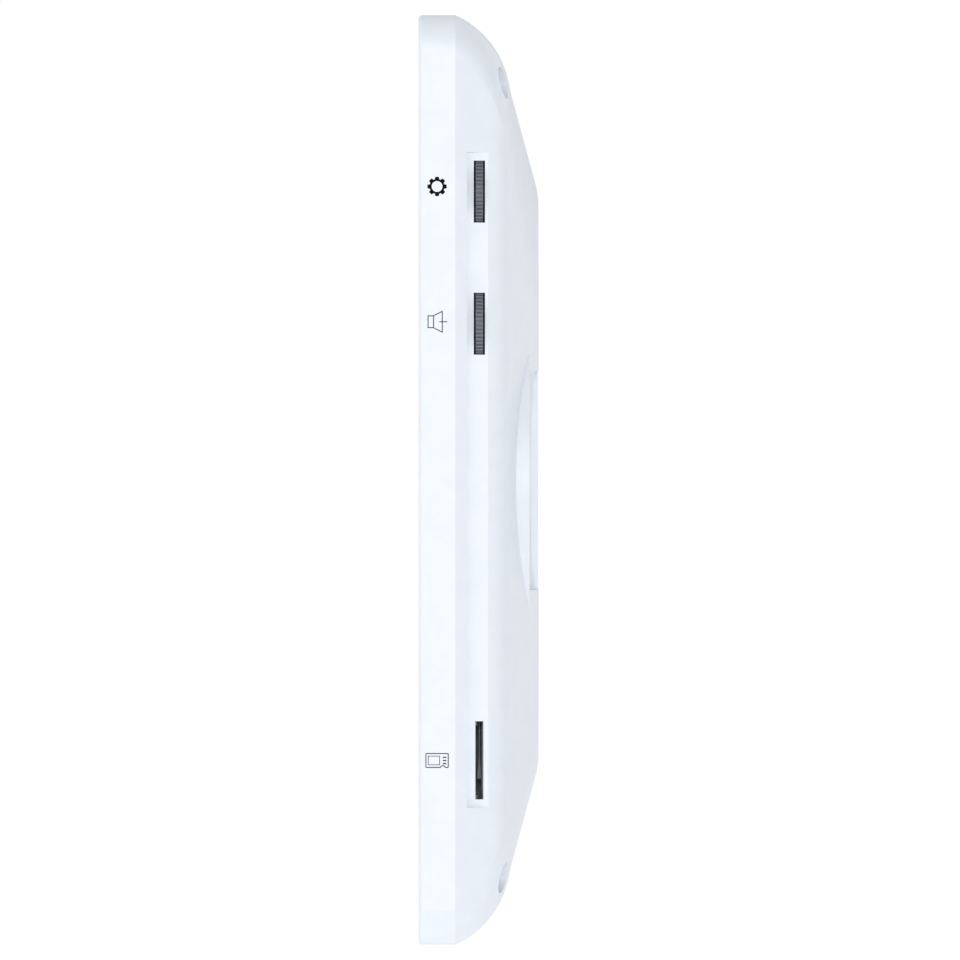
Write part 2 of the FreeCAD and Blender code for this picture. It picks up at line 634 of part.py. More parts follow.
def lcd_backlight():
    front = LEDGE_BACK + LCD_SHEET + LCD_PANEL_T
    tray = block(LCD_X, 0, LCD_W - 1.0, LCD_H - 1.0, front, LCD_BACK - 0.2)
    return tray.cut(block(LCD_X, 0, LCD_W - 16, LCD_H - 16, LCD_BACK - 0.5, LCD_BACK))


def lcd_flex():
    """Flat flexible cable from the screen's lower edge back to the main board."""
    x = LCD_X + 10.0
    z0 = -LCD_H / 2 + 18.0
    y0 = LCD_BACK - 0.5
    return block(x, z0, LCD_FLEX_W, LCD_FLEX_H, y0, y0 + LCD_FLEX_T)


def lcd_pads():
    """Foam strips between the screen module and the main board."""
    return [block(MAIN_X + sx * PAD_X, 0, PAD_W, PAD_H, LCD_BACK, MAIN_FRONT) for sx in (-1, 1)]


def touch_key_board():
    board = block(KEY_X, 0, KEY_BOARD_W, KEY_BOARD_H, GLASS_BACK, GLASS_BACK + KEY_BOARD_T)
    holes = [rod(KEY_X, KEY_PITCH * index, KEY_HOLE_R, GLASS_BACK - 1, GLASS_BACK + 2)
             for index in KEY_ROWS]
    return board.cut(holes)


def key_leds():
    back = GLASS_BACK + KEY_BOARD_T
    return [block(KEY_X, KEY_PITCH * index, LED_W, LED_H, back, back + LED_T) for index in KEY_ROWS]


# ---- boards ----------------------------------------------------------------------------------
def main_board():
    board = plate(MAIN_X, 0, MAIN_W, MAIN_H, 2.0, MAIN_FRONT, MAIN_BACK)
    return board.cut([rod(x, z, 1.5, MAIN_FRONT - 1, MAIN_BACK + 1) for x, z in MAIN_SCREWS])


def chip(x, z, w, h, height):
    return block(x, z, w, h, MAIN_BACK, MAIN_BACK + height)


def processor():
    return chip(CHIPS_X, PROCESSOR_Z, PROCESSOR_W, PROCESSOR_W, PROCESSOR_T)


def memory_chips():
    return [chip(CHIPS_X, MEMORY_Z - MEMORY_PITCH * index, MEMORY_W, MEMORY_H, MEMORY_T)
            for index in range(2)]


def shield_can():
    outer = chip(SHIELD_X, SHIELD_Z, SHIELD_W, SHIELD_H, SHIELD_T)
    inside = block(SHIELD_X, SHIELD_Z, SHIELD_W - 2 * SHIELD_SHEET, SHIELD_H - 2 * SHIELD_SHEET,
                   MAIN_BACK - 1, MAIN_BACK + SHIELD_T - SHIELD_SHEET)
    return outer.cut(inside)


def power_coils():
    coils = []
    for index in range(3):
        x = COIL_X + COIL_PITCH * index
        coil = rod(x, COIL_Z, COIL_R, MAIN_BACK, MAIN_BACK + COIL_T)
        coils.append(coil.fuse(chip(x, COIL_Z, COIL_BASE_W, COIL_BASE_W, COIL_BASE_T)))
    return coils


def capacitors():
    return [rod(CAPACITOR_X + CAPACITOR_PITCH * index, CAPACITOR_Z, CAPACITOR_R,
                MAIN_BACK, MAIN_BACK + CAPACITOR_H) for index in range(2)]


def clock_cell():
    bottom = MAIN_BACK + CELL_FLOOR
    return rod(CELL_X, CELL_Z, CELL_R, bottom, bottom + CELL_T)


def clock_cell_holder():
    seat = rod(CELL_X, CELL_Z, CELL_R + 1.0, MAIN_BACK, MAIN_BACK + CELL_SEAT_T)
    return seat.cut(rod(CELL_X, CELL_Z, CELL_R + 0.05, MAIN_BACK + CELL_FLOOR, MAIN_BACK + 3))


def board_screws():
    main = [screw(x, z, MAIN_BACK, MAIN_T + 3.2, MAIN_SCREW_HEAD_R, MAIN_SCREW_R, 1.3)
            for x, z in MAIN_SCREWS]
    side = [screw(x, z, SIDE_BACK, SIDE_BOARD_T + 2.6, SIDE_SCREW_HEAD_R, SIDE_SCREW_R, 1.0)
            for x, z in SIDE_SCREWS]
    return main + side


# ---- rear sockets ----------------------------------------------------------------------------
def socket_width(pins):
    return PIN_PITCH * (pins - 1) + SOCKET_ENDS


def socket_housing(x, pins):
    """Open-topped wafer housing with two keying slots."""
    top = RECESS_FLOOR - SOCKET_SUNK
    w = socket_width(pins)
    body = block(x, 0, w, SOCKET_D, MAIN_BACK, top)
    well = block(x, 0, w - 2 * SOCKET_WALL, SOCKET_D - 2 * SOCKET_WALL,
                 MAIN_BACK + SOCKET_FLOOR, top + 1)
    keys = [block(x + sx * (w / 2 - 2.2), SOCKET_D / 2, SOCKET_KEY_W, 2.2, top - SOCKET_KEY_L, top + 1)
            for sx in (-1, 1)]
    pins_cut = [block(x + off, 0, PIN_W, PIN_W, MAIN_BACK - 1, top) for off in pin_offsets(pins)]
    return body.cut([well] + keys + pins_cut)


def pin_offsets(pins):
    return [PIN_PITCH * (index - (pins - 1) / 2) for index in range(pins)]


def socket_pins():
    tip = RECESS_FLOOR - SOCKET_SUNK - PIN_SUNK
    pins = []
    for x, count in SOCKETS.values():
        for off in pin_offsets(count):
            pins.append(block(x + off, 0, PIN_W, PIN_W, MAIN_BACK, tip))
    return pins


# ---- side board: wheels and card socket ------------------------------------------------------
def side_board():
    board = block(SIDE_X, 0, SIDE_BOARD_W, SIDE_BOARD_H, SIDE_FRONT, SIDE_BACK)
    return board.cut([rod(x, z, 1.2, SIDE_FRONT - 1, SIDE_BACK + 1) for x, z in SIDE_SCREWS])


def wheel_base(z):
    """Square control body with the fixed post that its thumbwheel turns on."""
    wheel_low = CONTROL_Y - WHEEL_THICKNESS / 2
    wheel_high = CONTROL_Y + WHEEL_THICKNESS / 2
    base = block(SIDE_RIGHT - CONTROL_BASE_W / 2, z, CONTROL_BASE_W, CONTROL_BASE_H,
                 SIDE_BACK, wheel_low - CLEAR)
    shoulder = rod(WHEEL_X, z, WHEEL_POST_R + POST_SHOULDER, SIDE_BACK, wheel_low - WHEEL_RUNNING_CLEAR)
    cap_low = wheel_high + WHEEL_RUNNING_CLEAR
    post = rod(WHEEL_X, z, WHEEL_POST_R, SIDE_BACK, cap_low + CLEAR)
    cap = rod(WHEEL_X, z, WHEEL_POST_R + POST_CAP, cap_low, cap_low + POST_CAP_T)
    return joined([base, shoulder, post, cap])


def thumbwheel(z):
    """Ribbed wheel on the post, its rim standing out through the window."""
    points = []
    for index in range(2 * WHEEL_RIBS):
        angle = math.pi * index / WHEEL_RIBS
        radius = WHEEL_R - (RIB_DEPTH if index % 2 else 0.0)
        points.append(V(WHEEL_X + radius * math.cos(angle), 0, z + radius * math.sin(angle)))
    low = CONTROL_Y - WHEEL_THICKNESS / 2
    rim = Part.Face(Part.makePolygon(points + points[:1]))
    rim.translate(V(0, low, 0))
    disc = rim.extrude(V(0, WHEEL_THICKNESS, 0))
    disc = disc.cut(rod(WHEEL_X, z, WHEEL_POST_R + WHEEL_RUNNING_CLEAR, low - 1, low + 3))
    dish_low = low + WHEEL_THICKNESS - WHEEL_DISH_T
    return disc.cut(tube(WHEEL_X, z, WHEEL_R - 1.2, WHEEL_POST_R + 1.0, dish_low, low + 3))


def card_socket_base():
    x = SIDE_RIGHT - CARD_SOCKET_D / 2
    floor = CONTROL_Y - CARD_SLOT_WIDTH / 2
    body = block(x, CARD_Z, CARD_SOCKET_D, CARD_SOCKET_W, SIDE_BACK, floor + 0.3)
    body = body.cut(block(x + CARD_STOP, CARD_Z, CARD_SOCKET_D, CARD_TRACK_W, floor - 0.1, floor + 1))
    low_x = SIDE_RIGHT - CARD_SOCKET_D
    stop_half = CARD_SOCKET_W / 2 - 2 * CARD_SHEET
    stop = box((low_x, low_x + CARD_STOP), (floor + 0.2, CONTROL_Y + CARD_SLOT_WIDTH / 2 - CARD_SHEET),
               (CARD_Z - stop_half, CARD_Z + stop_half))
    return joined([body, stop])


def card_socket_shell():
    x = SIDE_RIGHT - CARD_SOCKET_D / 2
    floor = CONTROL_Y - CARD_SLOT_WIDTH / 2
    top = CONTROL_Y + CARD_SLOT_WIDTH / 2
    outer = block(x, CARD_Z, CARD_SOCKET_D, CARD_SOCKET_W, floor + 0.3, top)
    inner = block(x, CARD_Z, CARD_SOCKET_D + 1, CARD_SOCKET_W - 4 * CARD_SHEET, floor - 1, top - CARD_SHEET)
    return outer.cut(inner)


def card_latch_spring():
    """Steel leaf across the socket's mouth: a narrow arm that ends in a pointed paddle."""
    root = CARD_Z + CARD_SOCKET_W / 2 - 2 * CARD_SHEET
    neck = CARD_Z + 0.6
    foot = CARD_Z - 3.0
    arm = 0.07
    paddle = 0.36
    x = SIDE_RIGHT - 3.0
    outline_points = [
        V(x, CONTROL_Y - arm, root), V(x, CONTROL_Y + arm, root), V(x, CONTROL_Y + arm, neck),
        V(x, CONTROL_Y + paddle, foot), V(x, CONTROL_Y - paddle, foot), V(x, CONTROL_Y - arm, neck),
    ]
    leaf = Part.Face(Part.makePolygon(outline_points + outline_points[:1]))
    return leaf.extrude(V(0.15, 0, 0))


def board_ribbon():
    """Flat cable between the side board and the main board's edge connector."""
    x0 = MAIN_X + MAIN_W / 2 + 1.0
    x1 = SIDE_LEFT - 1.0
    y0 = MAIN_BACK + 0.4
    return box((x0, x1), (y0, y0 + RIBBON_T), (-RIBBON_W / 2, RIBBON_W / 2))


def ribbon_connectors():
    span = (-CONNECTOR_W / 2, CONNECTOR_W / 2)
    edge = MAIN_X + MAIN_W / 2
    left = box((edge - 5.0, edge + 1.0), (MAIN_BACK, MAIN_BACK + CONNECTOR_T), span)
    right = box((SIDE_LEFT - 1.0, SIDE_LEFT + 4.0), (SIDE_BACK, SIDE_BACK + CONNECTOR_T), span)
    return [left, right]


# ---- sound -----------------------------------------------------------------------------------
def speaker_gasket():
    return tube(BOSS_X, 0, SPEAKER_R, SPEAKER_R - GASKET_W, SPEAKER_BACK, SPEAKER_BACK + GASKET)


def speaker_frame():
    """Pressed basket: flange, sloping wall and a floor with openings for the magnet."""
    floor = SPEAKER_FRONT + MAGNET_H
    cup_r = SPEAKER_R - FLANGE_W
    flange = rod(BOSS_X, 0, SPEAKER_R, SPEAKER_BACK - FLANGE_T, SPEAKER_BACK)
    cup = rod(BOSS_X, 0, cup_r, floor, SPEAKER_BACK - FLANGE_T / 2)
    body = flange.fuse(cup)
    body = body.cut(rod(BOSS_X, 0, cup_r - BASKET_WALL, floor + BASKET_WALL, SPEAKER_BACK + 1))
    vents = []
    for index in range(BASKET_VENTS):
        angle = 2 * math.pi * (index + 0.5) / BASKET_VENTS
        x = BOSS_X + BASKET_VENT_RING * math.cos(angle)
        z = BASKET_VENT_RING * math.sin(angle)
        vents.append(rod(x, z, BASKET_VENT_R, SPEAKER_FRONT, SPEAKER_FRONT + 4))
    return body.cut(vents)


def speaker_magnet():
    return rod(BOSS_X, 0, MAGNET_R, SPEAKER_FRONT, SPEAKER_FRONT + MAGNET_H)


def speaker_cone():
    """Thin cone with a domed cap and a rolled edge."""
    edge_r = SPEAKER_R - FLANGE_W - BASKET_WALL
    back = SPEAKER_BACK - 0.5
    cap_r = CONE_CAP_R
    dish = CONE_DISH
    profile = [
        (0, back - 0.4), (cap_r * 0.6, back - 0.7), (cap_r, back - dish), (edge_r - 2, back - 0.3),
        (edge_r, back - 0.3), (edge_r, back), (edge_r - 2, back),
        (cap_r, back - dish + 0.3), (cap_r * 0.6, back - 0.4), (0, back - 0.1),
    ]
    points = [V(BOSS_X + r, y, 0) for r, y in profile]
    face = Part.Face(Part.makePolygon(points + points[:1]))
    return face.revolve(V(BOSS_X, 0, 0), V(0, 1, 0), 360)


def microphone():
    front = GLASS_BACK + BOOT_FLOOR
    capsule = rod(MIC_X, MIC_Z, MIC_R, front, front + MIC_LENGTH)
    return capsule.cut(rod(MIC_X, MIC_Z, 1.0, GLASS_BACK, front + 0.2))


def microphone_boot():
    boot = rod(MIC_X, MIC_Z, BOOT_R, GLASS_BACK, GLASS_BACK + BOOT_LENGTH)
    boot = boot.cut(rod(MIC_X, MIC_Z, MIC_R + MIC_FIT, GLASS_BACK + BOOT_FLOOR, GLASS_BACK + 5))
    return boot.cut(rod(MIC_X, MIC_Z, MIC_HOLE_R, GLASS_BACK - 1, GLASS_BACK + 2))


# ---- write -----------------------------------------------------------------------------------
def build_parts():
    parts = {
        "wall_bracket": wall_bracket(),
        "front_frame": front_frame(),
        "front_window": front_window(),
        "rear_cover": rear_cover(),
        "rear_label": rear_label(),
        "case_screws": case_screws(),
        "lcd_panel": lcd_panel(),
        "lcd_bezel": lcd_bezel(),
        "lcd_backlight": lcd_backlight(),
        "lcd_flex": lcd_flex(),
        "lcd_pads": lcd_pads(),
        "touch_key_board": touch_key_board(),
        "key_leds": key_leds(),
        "main_board": main_board(),
        "processor": processor(),
        "memory_chips": memory_chips(),
        "shield_can": shield_can(),
        "power_coils": power_coils(),
        "capacitors": capacitors(),
        "clock_cell": clock_cell(),
        "clock_cell_holder": clock_cell_holder(),
        "board_screws": board_screws(),
        "socket_pins": socket_pins(),
        "side_board": side_board(),
        "settings_encoder": wheel_base(SETTINGS_Z),
        "volume_control": wheel_base(VOLUME_Z),
        "settings_wheel": thumbwheel(SETTINGS_Z),
        "volume_wheel": thumbwheel(VOLUME_Z),
        "card_socket_base": card_socket_base(),
        "card_socket_shell": card_socket_shell(),
        "card_latch_spring": card_latch_spring(),
        "board_ribbon": board_ribbon(),
        "ribbon_connectors": ribbon_connectors(),
        "speaker_gasket": speaker_gasket(),
        "speaker_frame": speaker_frame(),
        "speaker_magnet": speaker_magnet(),
        "speaker_cone": speaker_cone(),
        "microphone": microphone(),
        "microphone_boot": microphone_boot(),
    }
    for name, (x, pins) in SOCKETS.items():
        parts[name] = socket_housing(x, pins)
    return parts


def main():
    os.makedirs("parts", exist_ok=True)
    for name, shape in build_parts().items():
        if isinstance(shape, list):
            shape = Part.makeCompound(shape)
        solids = Part.makeCompound(shape.Solids)
        solids.exportStep("parts/" + name + ".step")
        print(name, len(shape.Solids), "valid" if shape.isValid() else "INVALID",
              round(shape.Volume, 1))


main()
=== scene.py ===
import json
import math

import bmesh
import bpy
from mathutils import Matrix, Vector


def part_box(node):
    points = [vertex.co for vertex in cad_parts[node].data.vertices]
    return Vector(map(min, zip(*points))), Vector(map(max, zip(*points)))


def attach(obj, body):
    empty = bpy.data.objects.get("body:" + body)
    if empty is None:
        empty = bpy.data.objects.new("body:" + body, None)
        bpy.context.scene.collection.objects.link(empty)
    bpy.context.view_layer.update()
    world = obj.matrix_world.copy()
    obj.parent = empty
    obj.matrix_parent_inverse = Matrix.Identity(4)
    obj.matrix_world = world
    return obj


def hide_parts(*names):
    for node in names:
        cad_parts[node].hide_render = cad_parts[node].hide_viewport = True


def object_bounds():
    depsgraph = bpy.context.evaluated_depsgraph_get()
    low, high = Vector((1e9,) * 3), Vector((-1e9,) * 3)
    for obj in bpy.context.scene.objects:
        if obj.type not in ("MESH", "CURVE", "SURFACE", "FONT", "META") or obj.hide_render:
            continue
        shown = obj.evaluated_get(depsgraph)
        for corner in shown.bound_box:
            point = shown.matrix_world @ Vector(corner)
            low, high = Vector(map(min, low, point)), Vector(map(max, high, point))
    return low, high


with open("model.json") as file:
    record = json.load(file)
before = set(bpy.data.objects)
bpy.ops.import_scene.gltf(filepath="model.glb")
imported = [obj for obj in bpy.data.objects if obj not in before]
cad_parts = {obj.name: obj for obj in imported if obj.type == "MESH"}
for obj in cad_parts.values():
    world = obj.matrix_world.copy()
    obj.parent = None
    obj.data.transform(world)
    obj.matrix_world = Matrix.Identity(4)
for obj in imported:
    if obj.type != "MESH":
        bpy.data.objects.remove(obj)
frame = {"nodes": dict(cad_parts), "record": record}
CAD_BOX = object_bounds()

MM = 0.001
LOW, HIGH = (Vector(corner) for corner in CAD_BOX)
FRONT = LOW.y
SIDE = HIGH.x
NODES = frame["nodes"]


# ---- material helpers ----------------------------------------------------------------------
def new_material(name):
    material = bpy.data.materials.new(name)
    material.use_nodes = True
    tree = material.node_tree
    return material, tree, tree.nodes["Principled BSDF"]


def object_noise(tree, scale, detail=3.0, stretch=(1, 1, 1)):
    """Noise in the object's own metres; stretch above 1 makes it finer along that axis."""
    coords = tree.nodes.new("ShaderNodeTexCoord")
    mapping = tree.nodes.new("ShaderNodeMapping")
    mapping.inputs["Scale"].default_value = stretch
    noise = tree.nodes.new("ShaderNodeTexNoise")
    noise.inputs["Scale"].default_value = scale
    noise.inputs["Detail"].default_value = detail
    tree.links.new(coords.outputs["Object"], mapping.inputs["Vector"])
    tree.links.new(mapping.outputs["Vector"], noise.inputs["Vector"])
    return noise


def mix_colour(tree, factor, first, second):
    mix = tree.nodes.new("ShaderNodeMix")
    mix.data_type = "RGBA"
    mix.inputs["A"].default_value = (*first, 1)
    mix.inputs["B"].default_value = (*second, 1)
    tree.links.new(factor, mix.inputs["Factor"])
    return mix.outputs["Result"]


def spread(tree, value, low, high):
    """Map a noise value, which mostly runs from 0.3 to 0.7, to low..high."""
    node = tree.nodes.new("ShaderNodeMapRange")
    node.inputs["From Min"].default_value = 0.3
    node.inputs["From Max"].default_value = 0.7
    node.inputs["To Min"].default_value = low
    node.inputs["To Max"].default_value = high
    tree.links.new(value, node.inputs["Value"])
    return node.outputs["Result"]


def add_bump(tree, shader, height, strength, distance):
    bump = tree.nodes.new("ShaderNodeBump")
    bump.inputs["Strength"].default_value = strength
    bump.inputs["Distance"].default_value = distance
    tree.links.new(height, bump.inputs["Height"])
    tree.links.new(bump.outputs["Normal"], shader.inputs["Normal"])


def surface(name, dark, light, rough, grain, bump=0.2, metallic=0.0, stretch=(1, 1, 1), shine=0.5):
    """General procedural surface: two close colours, a roughness spread and a fine grain."""
    material, tree, shader = new_material(name)
    cloud = object_noise(tree, grain * 0.06, 4.0, stretch)
    fine = object_noise(tree, grain, 2.0, stretch)
    colour = mix_colour(tree, spread(tree, cloud.outputs["Fac"], 0, 1), dark, light)
    tree.links.new(colour, shader.inputs["Base Color"])
    roughness = spread(tree, fine.outputs["Fac"], *rough)
    tree.links.new(roughness, shader.inputs["Roughness"])
    shader.inputs["Metallic"].default_value = metallic
    shader.inputs["Specular IOR Level"].default_value = shine
    add_bump(tree, shader, fine.outputs["Fac"], bump, 0.5 / grain)
    return material


def in_span(tree, value, centre, half):
    """1 where value is within half of centre, with a hard edge."""
    node = tree.nodes.new("ShaderNodeMath")
    node.operation = "COMPARE"
    node.inputs[1].default_value = centre
    node.inputs[2].default_value = half
    tree.links.new(value, node.inputs[0])
    return node.outputs["Value"]


def both(tree, first, second):
    node = tree.nodes.new("ShaderNodeMath")
    node.operation = "MULTIPLY"
    tree.links.new(first, node.inputs[0])
    tree.links.new(second, node.inputs[1])
    return node.outputs["Value"]


SCREEN_BORDER = 5.0 * MM  # edge of the screen panel that the black print covers


def black_glass():
    """Back-printed front glass: black border, and the dark screen showing through its clear area."""
    material, tree, shader = new_material("black_glass")
    low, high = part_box("lcd_panel")
    half_w = (high.x - low.x) / 2 - SCREEN_BORDER
    half_h = (high.z - low.z) / 2 - SCREEN_BORDER
    coords = tree.nodes.new("ShaderNodeTexCoord")
    split = tree.nodes.new("ShaderNodeSeparateXYZ")
    tree.links.new(coords.outputs["Object"], split.inputs["Vector"])
    wide = in_span(tree, split.outputs["X"], (low.x + high.x) / 2, half_w)
    tall = in_span(tree, split.outputs["Z"], (low.z + high.z) / 2, half_h)
    colour = mix_colour(tree, both(tree, wide, tall), (0.006, 0.006, 0.007), (0.020, 0.022, 0.026))
    tree.links.new(colour, shader.inputs["Base Color"])
    smear = object_noise(tree, 35.0, 5.0, (1, 1, 2.5))
    tree.links.new(spread(tree, smear.outputs["Fac"], 0.05, 0.12), shader.inputs["Roughness"])
    shader.inputs["IOR"].default_value = 1.5
    shader.inputs["Specular IOR Level"].default_value = 0.25
    return material


def circuit_board():
    """Green solder mask with lighter copper traces under it."""
    material, tree, shader = new_material("circuit_board")
    coords = tree.nodes.new("ShaderNodeTexCoord")
    bricks = tree.nodes.new("ShaderNodeTexBrick")
    bricks.inputs["Scale"].default_value = 260.0
    bricks.inputs["Mortar Size"].default_value = 0.028
    bricks.inputs["Color1"].default_value = (0.010, 0.075, 0.035, 1)
    bricks.inputs["Color2"].default_value = (0.012, 0.090, 0.042, 1)
    bricks.inputs["Mortar"].default_value = (0.035, 0.17, 0.075, 1)
    turn = tree.nodes.new("ShaderNodeMapping")
    turn.inputs["Rotation"].default_value = (math.radians(90), 0, 0)
    tree.links.new(coords.outputs["Object"], turn.inputs["Vector"])
    tree.links.new(turn.outputs["Vector"], bricks.inputs["Vector"])
    tree.links.new(bricks.outputs["Color"], shader.inputs["Base Color"])
    grain = object_noise(tree, 2500.0)
    tree.links.new(spread(tree, grain.outputs["Fac"], 0.28, 0.42), shader.inputs["Roughness"])
    add_bump(tree, shader, bricks.outputs["Fac"], 0.3, 0.00005)
    return material


def make_materials():
    return {
        "white_shell": surface("white_shell", (0.80, 0.835, 0.885), (0.83, 0.86, 0.905),
                               (0.35, 0.46), 5200.0, 0.10),
        "front_glass": black_glass(),
        "screen": surface("screen", (0.010, 0.011, 0.014), (0.016, 0.017, 0.021),
                          (0.2, 0.3), 1500.0, 0.05),
        "steel": surface("steel", (0.50, 0.51, 0.53), (0.66, 0.67, 0.69), (0.24, 0.42), 2600.0,
                         0.12, 1.0, (1, 1, 9)),
        "label": surface("label", (0.66, 0.67, 0.69), (0.71, 0.72, 0.73), (0.5, 0.7), 1800.0, 0.15),
        "tray": surface("tray", (0.60, 0.60, 0.60), (0.68, 0.68, 0.68), (0.4, 0.55), 1800.0),
        "flex": surface("flex", (0.34, 0.13, 0.02), (0.46, 0.20, 0.04), (0.25, 0.4), 900.0,
                        0.1, 0.0, (8, 1, 1)),
        "foam": surface("foam", (0.010, 0.010, 0.011), (0.030, 0.030, 0.032), (0.8, 0.95),
                        2600.0, 0.6),
        "board": circuit_board(),
        "chip": surface("chip", (0.012, 0.012, 0.013), (0.022, 0.022, 0.024), (0.45, 0.65),
                        3200.0, 0.25),
        "ferrite": surface("ferrite", (0.030, 0.030, 0.033), (0.060, 0.060, 0.064), (0.5, 0.7),
                           2400.0, 0.35),
        "capacitor": surface("capacitor", (0.42, 0.43, 0.45), (0.56, 0.57, 0.59), (0.2, 0.35),
                             1800.0, 0.1, 1.0),
        "socket": surface("socket", (0.62, 0.59, 0.50), (0.70, 0.67, 0.58), (0.35, 0.5),
                          2200.0, 0.15),
        "socket_grey": surface("socket_grey", (0.33, 0.35, 0.40), (0.40, 0.42, 0.47), (0.5, 0.7),
                               2600.0, 0.1),
        "latch_grey": surface("latch_grey", (0.22, 0.235, 0.265), (0.27, 0.285, 0.315), (0.4, 0.6),
                              2600.0, 0.1),
        "pin": surface("pin", (0.62, 0.50, 0.24), (0.76, 0.64, 0.34), (0.18, 0.3), 2500.0,
                       0.1, 1.0),
        "wheel": surface("wheel", (0.150, 0.165, 0.200), (0.190, 0.205, 0.245), (0.38, 0.55),
                         2600.0, 0.2),
        "dark_plastic": surface("dark_plastic", (0.016, 0.016, 0.018), (0.030, 0.030, 0.033),
                                (0.45, 0.6), 2600.0, 0.2),
        "led": surface("led", (0.72, 0.73, 0.62), (0.80, 0.81, 0.70), (0.15, 0.25), 1200.0, 0.05),
        "cone": surface("cone", (0.018, 0.018, 0.020), (0.040, 0.040, 0.043), (0.5, 0.75),
                        1600.0, 0.5),
        "magnet": surface("magnet", (0.06, 0.06, 0.065), (0.11, 0.11, 0.115), (0.35, 0.5),
                          1900.0, 0.2, 0.8),
        "ink_black": surface("ink_black", (0.002, 0.002, 0.003), (0.004, 0.004, 0.005),
                             (0.5, 0.6), 2500.0, 0.05, shine=0.05),
        "ink_grey": surface("ink_grey", (0.040, 0.042, 0.047), (0.055, 0.057, 0.063),
                            (0.5, 0.6), 2500.0, 0.05, shine=0.05),
        "ink_white": surface("ink_white", (0.52, 0.53, 0.55), (0.58, 0.59, 0.61), (0.3, 0.4),
                             2500.0, 0.05),
    }


def dress_nodes(materials):
    """Give every CAD node the material of its slot in the record, and the card socket its own greys."""
    for entry in frame["record"]["subparts"]:
        mesh = NODES[entry["node"]].data
        mesh.materials.clear()
        mesh.materials.append(materials[entry["material_slot"]])
    for node, finish in (("card_socket_shell", "socket_grey"), ("card_socket_base", "socket_grey"),
                         ("card_latch_spring", "latch_grey")):
        mesh = NODES[node].data
        mesh.materials.clear()
        mesh.materials.append(materials[finish])


# ---- printed marks, in millimetres about their own centres ---------------------------------
INK = 0.02 * MM
MARK_DEPTH = 2.98 * MM   # front face to the middle of the side marks
WELD = 0.0002 * MM       # points of one mark closer than this are joined
GEAR_RISE = 0.8 * MM     # gear mark above the settings wheel's axis
GEAR_TEETH = 8
GEAR_TIP = 1.56
GEAR_ROOT = 1.22
GEAR_HOLE = 0.88
SOUND_RISE = 0.3 * MM    # speaker mark above the volume wheel's axis
SOUND_LINE = 0.14
CARD_LINE = 0.15
CARD_ROUND = 0.13
CONTACT_LEVELS = (-0.50, 0.0, 0.50)
CONTACT_HALF = 0.10
GRIP_R = 3.1             # bow of the handset marks
GRIP_HALF = 0.42
KEY_LINE = 0.34
SHACKLE_LINE = 0.42
KEY_CIRCLE = 4.6
KEY_CIRCLE_LINE = 0.22
KEY_SPAN = 4.9           # touch board's height, in key pitches
LABEL_MARGIN = 1.8
LABEL_RULE = 0.25
LABEL_BAR = 1.1          # height of the bars that stand for lines of print
LABEL_BARS = ((15.5, 0.9), (12.5, 0.55), (9.5, 0.75), (-2.0, 0.9), (-5.0, 0.6))
LABEL_BOXES = 3
LABEL_BOX_W = 6.4
LABEL_BOX_PITCH = 7.6


def closed_band(outer, inner):
    """Quads between two closed outlines with the same number of points."""
    count = len(outer)
    quads = []
    for index in range(count):
        after = (index + 1) % count
        quads.append([outer[index], outer[after], inner[after], inner[index]])
    return quads


def circle(u, v, radius, count=32):
    steps = [2 * math.pi * index / count for index in range(count)]
    return [(u + radius * math.cos(a), v + radius * math.sin(a)) for a in steps]


def mitred(points, width, closed):
    """Points to the left and right of a line, with mitred corners."""
    left = []
    right = []
    count = len(points)
    for index in range(count):
        here = Vector(points[index])
        before = Vector(points[index - 1]) if closed or index > 0 else None
        after = Vector(points[(index + 1) % count]) if closed or index < count - 1 else None
        arriving = (here - before).normalized() if before else (after - here).normalized()
        leaving = (after - here).normalized() if after else arriving
        mean = (arriving + leaving).normalized()
        reach = width / 2 / max(mean.dot(leaving), 0.3)
        across = Vector((-mean.y, mean.x)) * reach
        left.append(tuple(here + across))
        right.append(tuple(here - across))
    return left, right


def line(points, width):
    """Quads of one width along an open line."""
    left, right = mitred(points, width, False)
    return [[right[i], right[i + 1], left[i + 1], left[i]] for i in range(len(points) - 1)]


def loop(points, width):
    """Quads of one width along a closed line."""
    left, right = mitred(points, width, True)
    return closed_band(left, right)


def rectangle(u0, u1, v0, v1):
    return [(u0, v0), (u1, v0), (u1, v1), (u0, v1)]


def arc_points(u, v, radius, start, end, count=12):
    steps = [math.radians(start + (end - start) * index / count) for index in range(count + 1)]
    return [(u + radius * math.cos(a), v + radius * math.sin(a)) for a in steps]


def rounded(points, radius, count=4):
    """The closed outline with its corners replaced by arcs."""
    turned = []
    size = len(points)
    for index in range(size):
        here = Vector(points[index])
        before = (Vector(points[index - 1]) - here).normalized()
        after = (Vector(points[(index + 1) % size]) - here).normalized()
        for step in range(count + 1):
            share = step / count
            start = here + before * radius
            end = here + after * radius
            turned.append(tuple(start * (1 - share) ** 2 + here * 2 * share * (1 - share) + end * share ** 2))
    return turned


